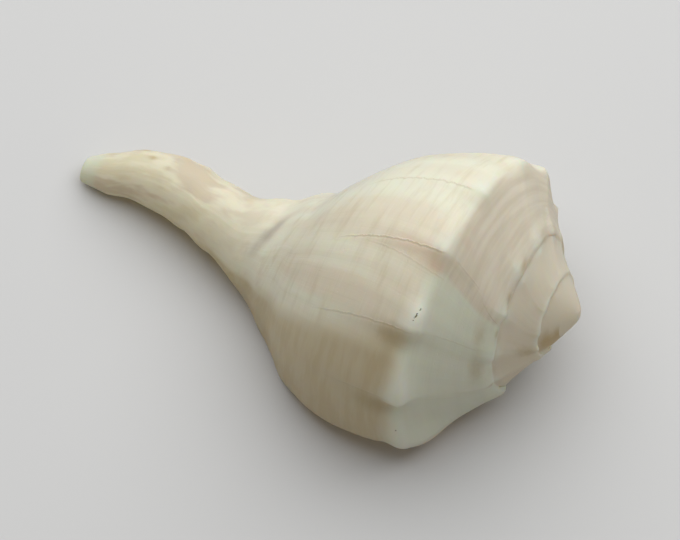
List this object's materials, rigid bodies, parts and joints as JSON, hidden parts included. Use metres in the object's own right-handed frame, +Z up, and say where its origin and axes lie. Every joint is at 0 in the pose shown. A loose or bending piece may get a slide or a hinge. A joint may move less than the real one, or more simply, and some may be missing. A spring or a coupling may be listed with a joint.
{
  "type": "lightning whelk shell",
  "caption": "Left-handed, knobbed, pear-shaped sea snail shell with a low spire, a wide aperture and a long open siphonal canal, lying aperture down.",
  "frame": {"origin": "centre of the shell's bounding box, at the floor it lies on", "axes": "+X from the canal's tip to the spire, -Y the side of the outer lip, +Z up from the floor, aperture down"},
  "size_m": [0.0979, 0.0562, 0.0452],
  "materials": {
    "shell": "bleached calcium carbonate, satin, with fine growth lines"
  },
  "bodies": {
    "root": {"shell": "shell"}
  },
  "joints": []
}
